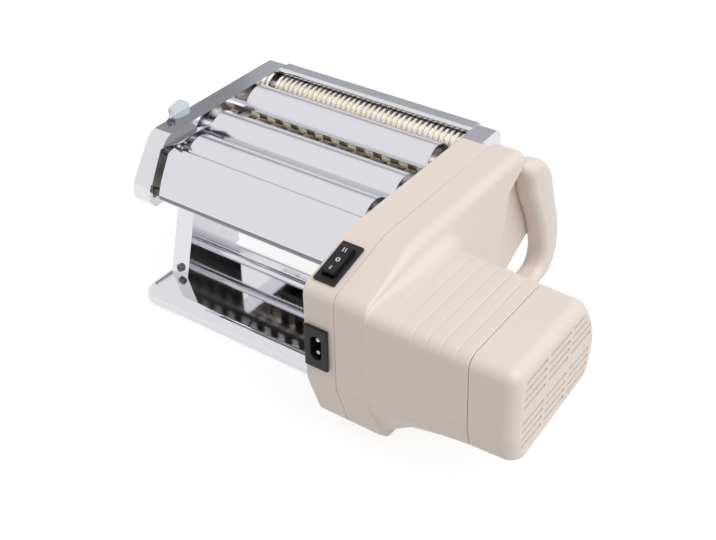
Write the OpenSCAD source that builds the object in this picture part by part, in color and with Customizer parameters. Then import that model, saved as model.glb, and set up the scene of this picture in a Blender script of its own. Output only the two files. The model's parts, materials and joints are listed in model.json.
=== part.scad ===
// Electric pasta maker: sheet rollers, two pairs of cutters, and a geared motor unit on the side.
// X runs along the rollers, Y to the back and Z up. Lengths are in millimetres.
// Side profiles are drawn as [Y, Z], and a third number is the radius of that corner.

/* [Machine] */
// Height of the head's top above the table
head_top = 125; // [115:1:145]
// Length of the smooth rollers
roller_len = 141; // [120:1:180]
// Radius of the smooth rollers
roller_r = 14.2; // [13.5:0.1:14.25]
// Widest gap between the smooth rollers
gap_max = 3; // [1:0.1:3.2]
// Travel of the front roller from the widest gap to the narrowest
gap_travel = 2.8; // [0.6:0.1:2.8]
// Radius of the journals of the rollers and cutters
journal_r = 4; // [3:0.1:4.5]
// Width of the fettuccine
fettuccine_w = 6.5; // [4:0.1:9]
// Width of the tagliolini
tagliolini_w = 2; // [1.5:0.1:3]

/* [Frame] */
// Gap between a smooth roller's end and the side frame
roller_end_gap = 5.5; // [4:0.1:9]
// Thickness of the pressed steel
steel_t = 1.5; // [1:0.1:2]
// Depth of the side frames
pan_depth = 13; // [13:0.1:18]
// Distance from the front of the head to its back
head_depth = 148; // [146:1:160]
// Height of the head
head_h = 43; // [42.5:0.5:50]
// Distance that the base reaches past each outer cover
base_side = 7.3; // [7.3:0.1:15]
// Width of the base, front to back
base_w = 81; // [75:1:90]
// Height of the base's pressed rim
base_h = 9.9; // [9:0.1:14]
// Height of the feet below the base's rim
foot_h = 3.5; // [3:0.1:6]
// Radius of the bar between the legs
tie_r = 3.2; // [2:0.1:4]

/* [Adjuster] */
// Angle of the lever at the widest gap, from the back
lever_rest = 57; // [30:1:80]
// Angle that the lever turns through
lever_turn = 115; // [100:1:130]
// Distance from the lever's pivot to the end of its tab
lever_len = 30; // [26:1:38]
// Room for the crank pin across its slot
crank_slack = 0.15; // [0.13:0.01:0.4]

/* [Motor unit] */
// Wall of the plastic shells
wall = 2.4; // [1.8:0.1:3]
// Height of the motor unit's top above the head's top
motor_rise = 2; // [1.9:0.1:4]
// Distance from the front of the head to the front of the motor unit
motor_reach = 44.5; // [40:0.5:60]
// Thickness of the flat housing, from the seam to its outer face
slab_t = 20.5; // [20:0.5:30]
// Length of the barrel from the flat housing to the end cap's seam
barrel_len = 61; // [61:1:90]
// Length of the end cap
cap_len = 27; // [24:1:40]
// Width of the carrying handle along X
handle_w = 16; // [12:1:20]
// Radius of the motor's can
can_r = 27.5; // [24:0.5:27.5]

/* [Fits] */
// Room around a journal in its bush
run_fit = 0.05; // [0.02:0.01:0.1]
// Room on each side of a sliding block
slide_fit = 0.08; // [0.04:0.01:0.15]
// Room between the rings of a pair of cutters, in all
cutter_fit = 0.12; // [0.08:0.01:0.3]
// Room between the head's casing and the motor unit's pocket
pocket_fit = 0.5; // [0.3:0.1:1]
// Thinning of each gear tooth's flank, as a share of the module
tooth_slack = 0.05; // [0.03:0.01:0.1]

/* [Hidden] */

$fn = 96;
ARC_STEPS = 8;
eps = 0.01;

// Heights of the base
base_bottom = foot_h;
base_top = base_bottom + base_h;

// Places along X
web_in = roller_len / 2 + roller_end_gap;
web_out = web_in + steel_t;
pan_out = web_in + pan_depth;
cover_t = 1;
cover_out = pan_out + cover_t;
base_len = 2 * (cover_out + base_side);
play = 0.1;
bush_flange_t = 1.8;
block_in = web_out + 0.3;
block_t = 2.8;
block_out = block_in + block_t;
gear_w = 3.6;
gear_gap = 0.4;
first_plane = block_out + gear_gap;
second_plane = first_plane + gear_w + gear_gap;

// Places in the side view, as [Y, Z]
roller_drop = 16;
rear_axis = [-7.2, head_top - roller_drop];
front_axis = rear_axis - [2 * roller_r + gap_max, 0];
head_back = 74;
head_front = head_back - head_depth;
head_bottom = head_top - head_h;
base_front = head_front;
base_back = base_front + base_w;

// Gears of the head: module and teeth
roller_m = 2;
roller_teeth = 14;
cutter_m = 1.5;
drive_teeth = 21;
cutter_teeth = 12;
bridge_teeth = 14;
roller_addendum = 1.1;
drive_addendum = 0.35;
roller_to_cutter = cutter_m * (drive_teeth + cutter_teeth) / 2;
cutter_pair = cutter_m * cutter_teeth;
bridge = cutter_m * bridge_teeth;
fettuccine_dir = -19.5;
pair_tilt = 40.1;
bridge_dir = -38.9;
shaft_dir = 233.1;

function polar(r, a) = r * [cos(a), sin(a)];

f_front = rear_axis + polar(roller_to_cutter, fettuccine_dir);
f_rear = f_front + polar(cutter_pair, pair_tilt);
t_front = f_rear + polar(bridge, bridge_dir);
t_rear = t_front + polar(cutter_pair, pair_tilt);
drive_axis = rear_axis + polar(roller_to_cutter, shaft_dir);

// Cutter rings
ring_r = 10;
groove_r = 7.7;
ring_room = 2 * web_in - 2;
shoulder_r = 5;
comb_gap = 0.3;
comb_rod_r = 2;

// Adjuster
crank_e = gap_travel / 2 / sin(lever_turn / 2);
crank_rest = 270 - lever_turn / 2;
crank_pin_r = 2;
crank_hub_r = 6;
lever_axis = front_axis + [gap_travel / 2, 0];
block_half = 7.5;
block_rise = 8;
tie_drop = 21;
tie_back = -8;
tie_rod_r = 2.5;
tie_axis = front_axis + [tie_back, -tie_drop];
journal_end = block_in + 4.2;
crank_slot_in = journal_end + 0.5;
left_block_out = crank_slot_in + 3.5;

// Gear train of the motor unit
pocket_floor = cover_out + pocket_fit;
shell_in = web_out + 0.5;
seam_x = max(base_len / 2 + 0.3, pocket_floor + wall + 4.7);
out_m = 1.5;
out_teeth = 36;
mid_m = 1.25;
fast_m = 1;
wheel_teeth = 40;
slow_pinion = 12;
fast_pinion = 10;
out_dir = 229;
mid_dir = 120.5;
fast_dir = 237.5;
second_axis = drive_axis + polar(out_m * (out_teeth + slow_pinion) / 2, out_dir);
first_axis = second_axis + polar(mid_m * (wheel_teeth + fast_pinion) / 2, mid_dir);
motor_axis = first_axis + polar(fast_m * (wheel_teeth + fast_pinion) / 2, fast_dir);
out_x = pocket_floor + wall + 1.3;
out_w = 6;
plate_t = 2.2;
mid_plate_x = out_x + out_w + 0.8;
mid_x = mid_plate_x + plate_t + 1;
mid_w = 6;
fast_x = mid_x + mid_w + 0.6;
fast_w = 3.8;
face_x = seam_x + slab_t;
edge_r = 6;
motor_plate_x = max(fast_x + fast_w + 1.6, face_x - wall + 0.3);
can_x = motor_plate_x + plate_t;
can_len = 52;
cap_x = face_x + barrel_len;
end_x = cap_x + cap_len;
axle_r = 3;
thin_axle_r = 2;
slow_hub_r = 5;
fast_hub_r = 4.4;
motor_shaft_r = 2.5;
shaft_room = 0.5;

// Outline of the side frames, in order round the profile
leg_front = -49;
leg_bend = [-37.5, head_bottom - 26];
leg_back = 6;
leg_slope = atan((leg_bend[0] - leg_front) / (leg_bend[1] - base_top));
pan_corners = [
    [head_back, head_top, 7], [-53, head_top, 9], [-64, head_top - 15, 30],
    [head_front + 1, head_top - 28.5, 8], [head_front, head_bottom + 6, 5],
    [head_front + 4, head_bottom, 4], [-30, head_bottom, 8], concat(leg_bend, 60),
    [leg_front, base_top, 0], [leg_back, base_top, 0], [leg_back - 1, head_bottom, 8],
    [head_back, head_bottom, 3]
];

// Outline of the flat housing of the motor unit
slab_top = head_top + motor_rise;
slab_front = head_front - motor_reach;
slab_bottom = 7;
slope_start = -70;
slope = 15;
slab_bend = slab_top - (slope_start - slab_front) * tan(slope);
step_y = base_front - 4;
step_z = base_top + 1.6;
front_corners = [
    [slope_start, slab_top, 20], [slab_front, slab_bend, 8],
    [slab_front + 1, head_top - 75, 20], [slab_front + 12.5, slab_bottom + 11, 14],
    [slab_front + 23.5, slab_bottom, 6]
];
back_corners = [
    [73, head_top - 66, 12], [68, head_top - 45, 30]
];
outer_back_top = [44.5, slab_top, 8];
outer_back_bottom = [25, slab_bottom, 10];
inner_corners = concat(
    [[46, slab_top, 2]],
    front_corners,
    [[step_y, slab_bottom, 2], [step_y, step_z, 2], [38, step_z, 8]],
    back_corners
);
outer_corners = concat([outer_back_top], front_corners, [outer_back_bottom]);

// Sections of the barrel where it leaves the flat housing and where the end cap closes it
barrel_root = [
    [-34, head_top - 12, 22], [slab_front + 0.2, head_top - 12, 10],
    [slab_front + 1.1, head_top - 75, 20], [slab_front + 12.7, head_top - 107, 14],
    [slab_front + 23.5, head_top - 117, 8], [-24, head_top - 113, 26],
    [-12, head_top - 58, 40]
];
barrel_end = [
    [-38, head_top - 14, 22], [slab_front + 1, head_top - 14, 12],
    [slab_front + 3.7, head_top - 62, 20], [slab_front + 7.5, head_top - 78, 12],
    [slab_front + 17.5, head_top - 85.5, 10], [-23, head_top - 79, 16],
    [-17, head_top - 48, 40]
];

// Handle of the motor unit
handle_x = face_x + 3 - handle_w;
web_t = 4;
shelf_end = 58;
shelf_back = 1.5;
shelf_cut = 40;
handle_corners = [
    [34, slab_top - 0.5, 0], [20, slab_bottom + 1, 0],
    [95, slab_bottom + 1, 10], [108, head_top - 94, 16], [101, head_top - 66, 60],
    [90, head_top - 34, 14], [82, head_top - 18, 12], [62, head_top - 8, 30],
    [50, slab_top - 0.5, 12]
];
handle_hole = [
    [50, head_top - 107, 1], [80, head_top - 107, 8], [86, head_top - 95, 8],
    [84.2, head_top - 87, 2]
];
handle_cove = [
    [30, head_top - 8, 0], [18, head_top - 107, 0], [80, head_top - 107, 8],
    [86, head_top - 95, 8], [80, head_top - 68, 30], [69, head_top - 46, 20],
    [60, head_top - 32, 14], [57, head_top - 8, 5]
];

// Thickness of the inlet's rim
bezel_t = 1.8;

// Box of the whole machine, which sets its origin
lever_out = cover_out + 7;
x_low = -max(base_len / 2, lever_out);
x_mid = (x_low + end_x) / 2;
y_low = slab_front - bezel_t;
y_high = max([for (p = rounded(handle_corners)) p.x]);
y_mid = (y_low + y_high) / 2;

function unit(v) = v / norm(v);
function flat(p) = [p[0], p[1]];
function turned(v, a) = [v.x * cos(a) - v.y * sin(a), v.x * sin(a) + v.y * cos(a)];

// Arc that rounds corner b, which lies between a and c; a straight corner stays a point
function corner_arc(a, b, c, r) =
    let (
        u = unit(a - b),
        v = unit(c - b),
        half = acos(max(-1, min(1, u * v))) / 2
    )
    half > 89.5 ? [b] : let (
        centre = b + unit(u + v) * r / sin(half),
        start = b + u * r / tan(half) - centre,
        turn = (cross(u, v) < 0 ? 1 : -1) * (180 - 2 * half)
    )
    [for (i = [0 : ARC_STEPS]) centre + turned(start, turn * i / ARC_STEPS)];

// Closed outline through rounded corners
function rounded(corners) =
    let (n = len(corners))
    [
        for (i = [0 : n - 1])
            let (
                a = flat(corners[(i + n - 1) % n]),
                b = flat(corners[i]),
                c = flat(corners[(i + 1) % n]),
                r = corners[i][2]
            )
            for (p = r > 0 ? corner_arc(a, b, c, r) : [b]) p
    ];

// Corners moved inwards by d; the corners run anticlockwise
function inset(corners, d) =
    let (n = len(corners))
    [
        for (i = [0 : n - 1])
            let (
                a = flat(corners[(i + n - 1) % n]),
                b = flat(corners[i]),
                c = flat(corners[(i + 1) % n]),
                u = unit(b - a),
                w = unit(c - b),
                n1 = [-u.y, u.x],
                n2 = [-w.y, w.x],
                p = b + d * (n1 + n2) / (1 + n1 * n2),
                r = corners[i][2] - (cross(u, w) > 0 ? d : -d)
            )
            [p.x, p.y, corners[i][2] == 0 ? 0 : max(r, 0.6)]
    ];

// Open path with rounded corners
function rounded_path(points) =
    let (n = len(points))
    concat(
        [flat(points[0])],
        [
            for (i = [1 : n - 2])
                for (p = corner_arc(flat(points[i - 1]), flat(points[i]), flat(points[i + 1]),
                    points[i][2])) p
        ],
        [flat(points[n - 1])]
    );

// One side of an open path, d to its left
function path_side(path, d) =
    let (n = len(path))
    [
        for (i = [0 : n - 1])
            let (
                u = unit(path[max(i, 1)] - path[max(i, 1) - 1]),
                w = unit(path[min(i + 1, n - 1)] - path[min(i + 1, n - 1) - 1]),
                n1 = [-u.y, u.x],
                n2 = [-w.y, w.x]
            )
            path[i] + d * (n1 + n2) / (1 + n1 * n2)
    ];

function backwards(list) = [for (i = [len(list) - 1 : -1 : 0]) list[i]];

// Sheet of thickness t bent along an open path
module bent_sheet(points, t) {
    path = rounded_path(points);
    polygon(concat(path_side(path, t / 2), backwards(path_side(path, -t / 2))));
}

module placed() {
    translate([-x_mid, -y_mid, 0]) children();
}

// Extrudes a side profile from x0 to x1
module along_x(x0, x1) {
    translate([x0, 0, 0]) rotate([90, 0, 90]) linear_extrude(x1 - x0) children();
}

// Round bar along X
module bar(p, r, x0, x1) {
    translate([x0, p.x, p.y]) rotate([0, 90, 0]) cylinder(r = r, h = x1 - x0);
}

// Ring along X
module ring(p, r, hole, x0, x1) {
    difference() {
        bar(p, r, x0, x1);
        bar(p, hole, x0 - 1, x1 + 1);
    }
}

// Angle from p to q in the side view
function heading(p, q) = atan2(q.y - p.y, q.x - p.x);

// Angle of a tooth of the second gear when the first gear has a tooth at angle a
function meshed(a, z1, z2, dir) = dir + 180 - (z1 / z2) * (a - dir) - 180 / z2;

pressure = 27;
function involute(a) = tan(a) * 180 / PI - a;

// Half of a tooth's angle at radius r
function half_tooth(z, m, r) =
    let (
        base_r = m * z / 2 * cos(pressure),
        a = r > base_r ? acos(base_r / r) : 0
    )
    90 / z - tooth_slack * 2 / z * 180 / PI + involute(pressure) - involute(a);

FLANK_STEPS = 5;

// Outline of a spur gear with z teeth of module m and a tooth at angle a
function gear_outline(z, m, a, addendum) =
    let (
        root = m * z / 2 - 1.2 * m,
        tip = m * z / 2 + addendum * m
    )
    [
        for (k = [0 : z - 1])
            for (side = [-1, 1])
                for (i = [0 : FLANK_STEPS])
                    let (
                        step = side < 0 ? i : FLANK_STEPS - i,
                        r = root + (tip - root) * step / FLANK_STEPS
                    )
                    polar(r, a + k * 360 / z + side * half_tooth(z, m, r))
    ];

module gear(p, z, m, a, x0, x1, bore, addendum = 0.85) {
    difference() {
        along_x(x0, x1) translate(p) polygon(gear_outline(z, m, a, addendum));
        bar(p, bore, x0 - 1, x1 + 1);
    }
}

// Angle of one tooth of each gear at rest
roller_phase = 0;
front_phase = meshed(roller_phase, roller_teeth, roller_teeth, 180);
drive_phase = 0;
f_front_phase = meshed(drive_phase, drive_teeth, cutter_teeth, fettuccine_dir);
f_rear_phase = meshed(f_front_phase, cutter_teeth, cutter_teeth, pair_tilt);
bridge_phase = 0;
t_bridge_phase = meshed(bridge_phase, bridge_teeth, bridge_teeth, bridge_dir);
t_front_phase = 0;
t_rear_phase = meshed(t_front_phase, cutter_teeth, cutter_teeth, pair_tilt);
input_phase = meshed(drive_phase, drive_teeth, cutter_teeth, shaft_dir);
out_phase = 0;
slow_phase = meshed(out_phase, out_teeth, slow_pinion, out_dir);
mid_phase = 0;
mid_pinion_phase = meshed(mid_phase, wheel_teeth, fast_pinion, mid_dir);
fast_phase = 0;
motor_phase = meshed(fast_phase, wheel_teeth, fast_pinion, fast_dir);

// ---- Base and frame ----

rim_r = 8;
corner_r = 12;
// Section of the base's rim, from the middle of a corner outwards
module rim_section() {
    difference() {
        intersection() {
            union() {
                translate([corner_r - rim_r, base_top - rim_r]) circle(r = rim_r);
                translate([0, base_bottom]) square([corner_r, base_top - rim_r - base_bottom]);
                translate([0, base_bottom]) square([corner_r - rim_r, base_h]);
            }
            translate([0, base_bottom]) square([corner_r, base_h]);
        }
        translate([corner_r - rim_r, base_top - rim_r]) circle(r = rim_r - steel_t);
        translate([-1, base_bottom - 1])
            square([corner_r - steel_t + 1, base_top - rim_r - base_bottom + 1]);
        translate([-1, base_bottom - 1]) square([corner_r - rim_r + 1, base_h - steel_t + 1]);
    }
}

module base_plate() {
    color("silver") placed() {
        half_len = base_len / 2;
        mid_y = (base_front + base_back) / 2;
        for (sx = [-1, 1]) {
            for (sy = [-1, 1]) {
                translate([sx * (half_len - corner_r), mid_y + sy * (base_w / 2 - corner_r), 0])
                    rotate([0, 0, (sx > 0 ? (sy > 0 ? 0 : 270) : (sy > 0 ? 90 : 180))])
                        rotate_extrude(angle = 90) rim_section();
            }
        }
        for (s = [-1, 1]) {
            translate([0, mid_y + s * (base_w / 2 - corner_r), 0]) rotate([90, 0, s * 90])
                translate([0, 0, -(half_len - corner_r)]) linear_extrude(base_len - 2 * corner_r)
                    rim_section();
            translate([s * (half_len - corner_r), mid_y, 0]) rotate([90, 0, s > 0 ? 0 : 180])
                translate([0, 0, -(base_w / 2 - corner_r)]) linear_extrude(base_w - 2 * corner_r)
                    rim_section();
        }
        translate([-half_len + corner_r, base_front + corner_r, base_top - steel_t])
            cube([base_len - 2 * corner_r, base_w - 2 * corner_r, steel_t]);
    }
}

foot_r = 7;
foot_in = 15;

module base_feet() {
    color("dimgray") placed() {
        for (sx = [-1, 1]) {
            for (y = [base_front + foot_in, base_back - foot_in]) {
                translate([sx * (base_len / 2 - foot_in), y, 0])
                    cylinder(r = foot_r, h = base_top - steel_t);
            }
        }
    }
}

// Pressed side frame: web, outward flange and leg, on the side s of the machine
module side_pan(s) {
    mirror([s < 0 ? 1 : 0, 0, 0]) {
        difference() {
            union() {
                along_x(web_in, web_out) polygon(rounded(pan_corners));
                along_x(web_in, pan_out) difference() {
                    polygon(rounded(pan_corners));
                    polygon(rounded(inset(pan_corners, steel_t)));
                }
            }
            for (p = [rear_axis, f_front, f_rear, t_front, t_rear]) {
                bar(p, bush_r, web_in - 1, web_out + 1);
            }
            // Slots for the front roller's journal and for the carriers' tie
            along_x(web_in - 1, web_out + 1) {
                journal_slot(front_axis, journal_r + 1);
                journal_slot(tie_axis, tie_rod_r + 0.5);
            }
            if (s > 0) {
                bar(drive_axis, drive_bush_r, web_in - 1, web_out + 1);
                // Slot that lets the gears' tips through the top flange
                translate([block_out, gear_slot[0], head_top - steel_t - 1])
                    cube([pan_depth, gear_slot[1] - gear_slot[0], steel_t + 2]);
            }
        }
    }
}

// Slot as long as the front roller's travel
module journal_slot(p, r) {
    translate(p) circle(r = r);
    translate([p.x + gap_travel, p.y]) circle(r = r);
    translate([p.x, p.y - r]) square([gap_travel, 2 * r]);
}

bush_r = 6;
drive_bush_r = 4.6;
gear_slot = [-50, 44];

module left_side_frame() {
    color("silver") placed() side_pan(-1);
}

module right_side_frame() {
    color("silver") placed() side_pan(1);
}

module left_outer_cover() {
    color("silver") placed() difference() {
        along_x(-cover_out, -pan_out) polygon(rounded(pan_corners));
        bar(lever_axis, crank_hub_r + run_fit, -cover_out - 1, -pan_out + 1);
    }
}

module right_gear_cover() {
    color("silver") placed() difference() {
        along_x(pan_out, cover_out) polygon(rounded(pan_corners));
        bar(drive_axis, drive_r + shaft_room, pan_out - 1, cover_out + 1);
    }
}

panel_t = 1.2;
// Gaps between the panel's ends and the side frames, and the height of its lower edge
panel_left_gap = 7;
panel_right_gap = 0.5;
panel_low = head_top - 35;
panel_path = [
    [-52.5, head_top - 9.5, 0], [-52, head_top - 4.8, 2.4], [-60, head_top - 6.2, 4],
    [-69, head_top - 22, 40], [head_front + 1.4, panel_low + 4, 4],
    [head_front + 2.8, panel_low, 2.4], [-66, panel_low, 0]
];
upper_rod = [-56, head_top - 8.9];
panel_rod_r = 2.3;
lower_rod = [-68.4, panel_low + panel_t + panel_rod_r];

module front_panel() {
    color("silver") placed()
        along_x(-web_in + panel_left_gap, web_in - panel_right_gap) bent_sheet(panel_path, panel_t);
}

module panel_rods() {
    color("gray") placed() {
        bar(upper_rod, panel_rod_r, -web_in, web_in);
        bar(lower_rod, panel_rod_r, -web_in, web_in);
    }
}

module back_rail() {
    color("silver") placed() along_x(-web_in, web_in) bent_sheet([
        [61.6, head_top - 3.4, 0], [61.6, head_top - 0.6, 1.4],
        [head_back - 0.6, head_top - 0.6, 3], [head_back - 0.6, head_bottom + 2.6, 2],
        [69, head_bottom + 2.6, 0]
    ], panel_t);
}

tie_bar_axis = [-24, base_top + 12];

module leg_tie() {
    color("silver") placed() bar(tie_bar_axis, tie_r, -web_in, web_in);
}

guard_w = 11;
guard_t = 1;
guard_gap = 0.5;
guard_len = 2 * roller_r + 0.8;
// Drop of the guard from its inner edge to the side frame
guard_drop = 6;

// Sloping plate over the left end of the front roller, on the side frame
module roller_guard() {
    color("silver") placed()
        translate([-web_in, front_axis.x + roller_r - 0.7, front_axis.y + roller_r + guard_gap])
            rotate([90, 0, 0]) linear_extrude(guard_len)
                polygon([
                    [0, -guard_drop], [guard_w, 0], [guard_w, guard_t], [0, guard_t - guard_drop]
                ]);
}

cover_r = 14.2;
cover_wall = 0.8;

module cutter_cover() {
    color("silver") placed() translate([0, f_rear.x, f_rear.y]) rotate([0, 90, 0]) {
        rotate([0, 0, 85]) rotate_extrude(angle = 170)
            translate([cover_r - cover_wall, -roller_len / 2]) square([cover_wall, roller_len]);
        for (a = [86, 238]) {
            for (end = [-web_in, roller_len / 2 - 1]) {
                rotate([0, 0, a]) rotate_extrude(angle = 16)
                    translate([cover_r - cover_wall + 0.1, end])
                        square([cover_wall - 0.2, roller_end_gap + 1]);
            }
        }
    }
}

// Bushes in the side frames, with a flange on the outer side
module bush(p, r, hole, s) {
    mirror([s < 0 ? 1 : 0, 0, 0]) {
        ring(p, r, hole, web_in - 0.3, web_out);
        ring(p, r + 1.3, hole, web_out, web_out + bush_flange_t);
    }
}

drive_end_r = 3;

module bushes() {
    color("peru") placed() {
        for (s = [-1, 1]) {
            for (p = [rear_axis, f_front, f_rear, t_front, t_rear]) {
                bush(p, bush_r, journal_r + run_fit, s);
            }
        }
        bush(drive_axis, drive_bush_r, drive_end_r + run_fit, 1);
    }
}

guide_h = 2.6;
lower_guide_len = 10;

// Rails that hold the carriers up and down
module carrier_guides() {
    color("gray") placed() {
        for (s = [-1, 1]) {
            x = s > 0 ? web_out : -block_out;
            wide = block_out - web_out;
            translate([x, front_axis.x - block_half - 3, front_axis.y + block_rise + slide_fit])
                cube([wide, 2 * block_half + gap_travel + 6, guide_h]);
            translate([x, front_axis.x + 0.3, front_axis.y - block_rise - slide_fit - guide_h])
                cube([wide, lower_guide_len, guide_h]);
        }
    }
}

blade_t = 0.8;

// Bar with a blade that points at a roller
module scraper(rod, rod_r, roller, x1) {
    dir = heading(rod, roller);
    reach = norm(roller - rod) - roller_r - comb_gap;
    translate([-x1, rod.x, rod.y]) rotate([dir, 0, 0])
        translate([0, rod_r - 0.3, -blade_t / 2]) cube([2 * x1, reach - rod_r + 0.3, blade_t]);
}

rear_scraper_rod = [-9, head_bottom + 5];

module rear_scraper() {
    color("dimgray") placed() {
        bar(rear_scraper_rod, comb_rod_r, -web_in, web_in);
        scraper(rear_scraper_rod, comb_rod_r, rear_axis, roller_len / 2 - 1);
    }
}

// Number of rings of width w on the fuller cutter of a pair
function rings(w) = floor((ring_room + w) / (2 * w));

finger_w = 3;

// Bar with a finger in each groove of a cutter with n grooves of width w
module comb(rod, cutter, w, n) {
    bar(rod, comb_rod_r, -web_in, web_in);
    thick = w - cutter_fit - 0.3 * w / 2;
    difference() {
        for (i = [0 : n - 1]) {
            translate([(i - (n - 1) / 2) * 2 * w - thick / 2, rod.x - finger_w / 2, rod.y])
                cube([thick, finger_w, cutter.y - rod.y]);
        }
        bar(cutter, groove_r + comb_gap, -web_in, web_in);
    }
}

comb_z = head_bottom + 3.6;

module fettuccine_combs() {
    color("black") placed() {
        n = rings(fettuccine_w);
        comb([f_front.x - 6.2, comb_z], f_front, fettuccine_w, n - 1);
        comb([f_rear.x + 1.4, comb_z], f_rear, fettuccine_w, n - 2);
    }
}

module tagliolini_combs() {
    color("black") placed() {
        n = rings(tagliolini_w);
        comb([t_front.x, comb_z], t_front, tagliolini_w, n - 1);
        comb([t_rear.x + 5.2, comb_z], t_rear, tagliolini_w, n - 2);
    }
}

screw_head_r = 2.8;
screw_head_h = 1.5;

// Pan head with a slot, its seat at z = 0
module screw_head() {
    difference() {
        cylinder(r = screw_head_r, h = screw_head_h);
        translate([-screw_head_r, -0.4, screw_head_h - 0.6]) cube([2 * screw_head_r, 0.8, 1]);
    }
}

// Screws on the left cover, in the side view
cover_screws = [
    [head_back - 8, head_top - 8], [head_back - 8, head_bottom + 8], [-62, head_bottom + 8],
    [-30, base_top + 10], [-8, base_top + 10]
];
// Screw on top of the left side frame, and the rise of the one on its leg
top_screw_y = -38;
leg_screw_rise = 5.5;

module frame_screws() {
    color("gray") placed() {
        for (p = cover_screws) {
            translate([-cover_out, p.x, p.y]) rotate([0, -90, 0]) screw_head();
        }
        translate([-web_in - 10, top_screw_y, head_top]) screw_head();
        translate([-web_in - pan_depth / 2, leg_front + leg_screw_rise * tan(leg_slope),
            base_top + leg_screw_rise])
            rotate([90 - leg_slope, 0, 0]) screw_head();
    }
}

// ---- Rollers and cutters ----

// Thinner left end of the front roller, which the guard slopes over
roller_step = guard_w - roller_end_gap + 3;
roller_step_r = 9;

// Shaft of a roller or cutter; the left end is at -left and the right end at right
module shaft(p, left, right) {
    bar(p, shoulder_r, -web_in + 0.3 + play, web_in - 0.3 - play);
    bar(p, journal_r, -left, right);
}

// Smooth roller, whose left end is thinner over a length of step
module smooth_roller(p, left, right, step = 0) {
    bar(p, roller_r, step - roller_len / 2, roller_len / 2);
    if (step > 0) bar(p, roller_step_r, -roller_len / 2, step - roller_len / 2);
    shaft(p, left, right);
}

// Cutter with n rings of width w
module cutter(p, w, n, right) {
    ring_w = w - cutter_fit / 2;
    core = [
        for (i = [0 : n - 1])
            let (mid = (i - (n - 1) / 2) * 2 * w)
            for (q = [
                [groove_r, mid - ring_w / 2], [ring_r, mid - ring_w / 2],
                [ring_r, mid + ring_w / 2], [groove_r, mid + ring_w / 2]
            ]) q
    ];
    translate([0, p.x, p.y]) rotate([0, 90, 0])
        rotate_extrude() polygon(concat([[0, core[0][1]]], core, [[0, core[len(core) - 1][1]]]));
    shaft(p, bush_end, right);
}

bush_end = web_out + bush_flange_t + 0.4;
gears_end = second_plane + gear_w;

module front_roller() {
    color("silver") placed()
        smooth_roller(front_axis, journal_end - 0.4, first_plane + gear_w, roller_step);
}

module front_roller_gear() {
    color("gray") placed() gear(front_axis, roller_teeth, roller_m, front_phase, first_plane,
        first_plane + gear_w, journal_r, roller_addendum);
}

module rear_roller() {
    color("silver") placed() smooth_roller(rear_axis, bush_end, gears_end);
}

module rear_roller_gears() {
    color("gray") placed() {
        gear(rear_axis, roller_teeth, roller_m, roller_phase, first_plane,
            first_plane + gear_w + gear_gap, journal_r, roller_addendum);
        gear(rear_axis, drive_teeth, cutter_m, drive_phase, second_plane, gears_end, journal_r,
            drive_addendum);
    }
}

// Sliding block of the front roller on one side, from x0 to x1
module carrier_block(x0, x1) {
    along_x(x0, x1) difference() {
        union() {
            translate([front_axis.x - block_half, front_axis.y - block_rise])
                square([2 * block_half, 2 * block_rise]);
            translate([tie_axis.x - 5, tie_axis.y - 3.6])
                square([10, front_axis.y - tie_axis.y + 3.6]);
        }
        translate(tie_axis) circle(r = tie_rod_r);
    }
}

module roller_carriers() {
    color("peru") placed() {
        difference() {
            carrier_block(block_in, block_out);
            bar(front_axis, journal_r + run_fit, block_in - 1, block_out + 1);
        }
        difference() {
            carrier_block(-left_block_out, -block_in);
            bar(front_axis, journal_r + run_fit, -journal_end, -block_in + 1);
            // Slot of the crank pin
            translate([-left_block_out - 1, front_axis.x - crank_pin_r - crank_slack,
                front_axis.y - crank_e - crank_pin_r - 0.3])
                cube([left_block_out + 1 - crank_slot_in, 2 * (crank_pin_r + crank_slack),
                    crank_e * (1 + sin(crank_rest)) + 2 * crank_pin_r + 0.6]);
        }
    }
}

module carrier_tie() {
    color("silver") placed() bar(tie_axis, tie_rod_r, -left_block_out, block_out);
}

module front_scraper() {
    color("dimgray") placed() difference() {
        scraper(tie_axis, tie_rod_r, front_axis, roller_len / 2 - 1);
        bar(tie_axis, tie_rod_r, -web_in, web_in);
    }
}

module fettuccine_front_cutter() {
    color("khaki") placed() cutter(f_front, fettuccine_w, rings(fettuccine_w), gears_end);
}

module fettuccine_front_gear() {
    color("gray") placed() gear(f_front, cutter_teeth, cutter_m, f_front_phase, second_plane,
        gears_end, journal_r);
}

module fettuccine_rear_cutter() {
    color("khaki") placed() cutter(f_rear, fettuccine_w, rings(fettuccine_w) - 1, gears_end);
}

module fettuccine_rear_gears() {
    color("gray") placed() {
        gear(f_rear, bridge_teeth, cutter_m, bridge_phase, first_plane,
            first_plane + gear_w + gear_gap, journal_r);
        gear(f_rear, cutter_teeth, cutter_m, f_rear_phase, second_plane, gears_end, journal_r);
    }
}

module tagliolini_front_cutter() {
    color("khaki") placed() cutter(t_front, tagliolini_w, rings(tagliolini_w), gears_end);
}

module tagliolini_front_gears() {
    color("gray") placed() {
        gear(t_front, bridge_teeth, cutter_m, t_bridge_phase, first_plane,
            first_plane + gear_w + gear_gap, journal_r);
        gear(t_front, cutter_teeth, cutter_m, t_front_phase, second_plane, gears_end, journal_r);
    }
}

module tagliolini_rear_cutter() {
    color("khaki") placed() cutter(t_rear, tagliolini_w, rings(tagliolini_w) - 1, gears_end);
}

module tagliolini_rear_gear() {
    color("gray") placed() gear(t_rear, cutter_teeth, cutter_m, t_rear_phase, second_plane,
        gears_end, journal_r);
}

// ---- Thickness adjuster ----

lever_in = cover_out + 0.4;
arm_t = 3;
lever_hub_r = 9;
crank_key_r = 3;
// The lever's tab, turned from the line of its arm
tab_len = 13;
tab_t = 6;
tab_lean = -48;
tab_mid = [lever_len - 7.6, -3.5];

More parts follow.
